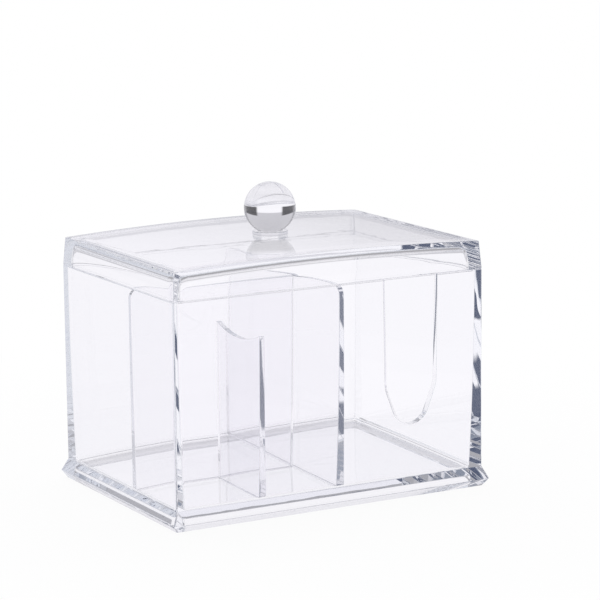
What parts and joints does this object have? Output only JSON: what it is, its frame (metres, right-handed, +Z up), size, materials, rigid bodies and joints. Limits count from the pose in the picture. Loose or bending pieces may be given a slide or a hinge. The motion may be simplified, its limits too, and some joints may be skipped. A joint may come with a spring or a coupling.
{
  "type": "divided storage box with lift-off lid",
  "caption": "Clear plastic box with a bevelled foot, divided cells, a finger slot in the front wall and a lift-off arched lid with a ball knob.",
  "frame": {"origin": "on the resting plane, under the centre of the box", "axes": "+X along the long side towards the large cell, -Y the front with the finger slot, +Z up; the two small cells are at the front left"},
  "size_m": [0.15, 0.11, 0.13],
  "materials": {
    "moulded_clear": "water-clear moulded acrylic, glossy, with a faint ripple from the mould",
    "sheet_clear": "water-clear acrylic sheet, glossy faces and polished edges",
    "turned_clear": "water-clear acrylic, turned and polished"
  },
  "bodies": {
    "box": {"tub": "moulded_clear", "tall_divider": "sheet_clear", "cross_divider": "sheet_clear", "low_divider": "sheet_clear"},
    "cover": {"lid": "moulded_clear", "knob_collar": "turned_clear", "knob_ball": "turned_clear"}
  },
  "joints": [
    {"name": "lid_lift", "type": "slide", "parent": "box", "child": "cover", "axis": [0, 0, 1], "range_m": [0, 0.12]}
  ]
}
